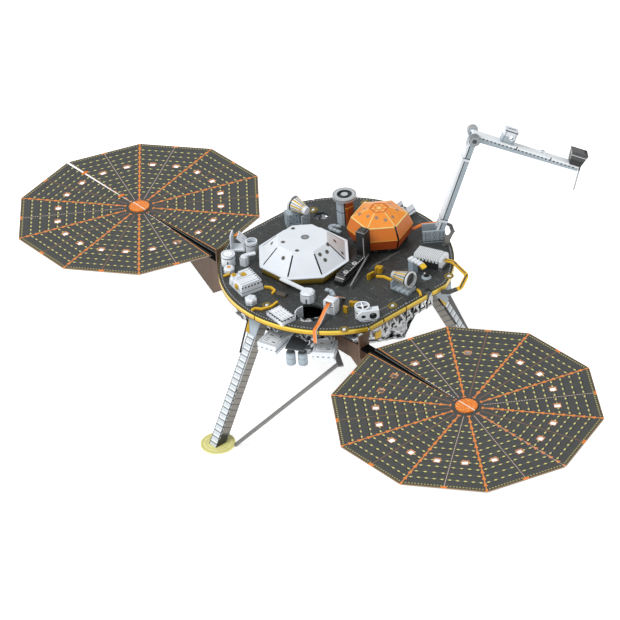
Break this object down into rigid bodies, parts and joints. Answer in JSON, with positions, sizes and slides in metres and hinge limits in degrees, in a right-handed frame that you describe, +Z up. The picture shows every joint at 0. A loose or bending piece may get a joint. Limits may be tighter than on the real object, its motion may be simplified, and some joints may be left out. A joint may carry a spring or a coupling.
{
  "type": "sheet-metal mars lander model",
  "caption": "Folded sheet-metal model of a three-legged Mars lander with decagonal solar panels, instrument domes on a round deck and a hinged two-link arm.",
  "frame": {"origin": "on the floor under the deck's centre", "axes": "+X along the line of the solar panels towards the right panel, +Y towards the arm's side of the deck, +Z up"},
  "size_m": [0.1568, 0.084, 0.0539],
  "materials": {
    "bare_steel": "rolled sheet",
    "black_print": "printed enamel, satin",
    "bronze_print": "printed enamel, satin",
    "deck_print": "printed enamel, satin",
    "foil_steel": "etched crinkle",
    "gold_print": "printed enamel, satin",
    "grey_enamel": "printed enamel, satin",
    "orange_print": "printed enamel, satin",
    "pad_print": "printed enamel, satin",
    "panel_print": "printed enamel, satin",
    "white_enamel": "printed enamel, satin",
    "yellow_print": "printed enamel, satin"
  },
  "bodies": {
    "lander": {"arm_base": "grey_enamel", "back_bracket": "white_enamel", "back_horn": "white_enamel", "back_horn_box": "grey_enamel", "cables": "yellow_print", "canister": "white_enamel", "clamp_box": "white_enamel", "connectors": "gold_print", "cover_cable": "yellow_print", "deck": "deck_print", "deck_rim": "gold_print", "dome": "white_enamel", "dome_ring": "gold_print", "drum_antenna": "grey_enamel", "electronics_box": "white_enamel", "foot_pad_front": "pad_print", "foot_pad_left": "pad_print", "foot_pad_right": "pad_print", "front_horn": "white_enamel", "gimbal_base": "white_enamel", "gimbal_dish": "white_enamel", "hook_bracket": "grey_enamel", "horn_bracket": "grey_enamel", "latch_bracket": "white_enamel", "leg_brace_front": "bare_steel", "leg_brace_left": "bare_steel", "leg_brace_right": "bare_steel", "leg_front": "grey_enamel", "leg_left": "grey_enamel", "leg_right": "grey_enamel", "link_strap": "orange_print", "lower_body": "foil_steel", "nozzles": "grey_enamel", "panel_bracket_left": "bronze_print", "panel_bracket_right": "bronze_print", "panel_hub_left": "orange_print", "panel_hub_right": "orange_print", "panel_left": "panel_print", "panel_right": "panel_print", "panel_strut_left": "black_print", "panel_strut_right": "black_print", "pipework": "bare_steel", "probe_beam": "black_print", "probe_post": "black_print", "probe_rod": "bare_steel", "ribbed_cover": "grey_enamel", "ring_cluster": "white_enamel", "seismometer": "orange_print", "seismometer_base": "black_print", "sensor_block": "white_enamel", "sensor_pod": "white_enamel", "small_can": "white_enamel", "tether_box": "white_enamel", "tether_strap": "orange_print", "thermal_boxes": "white_enamel"},
    "upper_arm": {"elbow_drums": "grey_enamel", "upper_arm": "grey_enamel"},
    "forearm": {"arm_camera": "grey_enamel", "forearm": "grey_enamel", "scoop": "black_print"}
  },
  "joints": [
    {"name": "shoulder_pitch", "type": "hinge", "parent": "lander", "child": "upper_arm", "pos_m": [0.0088, 0.0207, 0.0299], "axis": [-0.788, 0.6157, 0], "range_deg": [-15, 25]},
    {"name": "elbow_pitch", "type": "hinge", "parent": "upper_arm", "child": "forearm", "pos_m": [0.01368, 0.02695, 0.05255], "axis": [-0.788, 0.6157, 0], "range_deg": [-40, 30]}
  ]
}
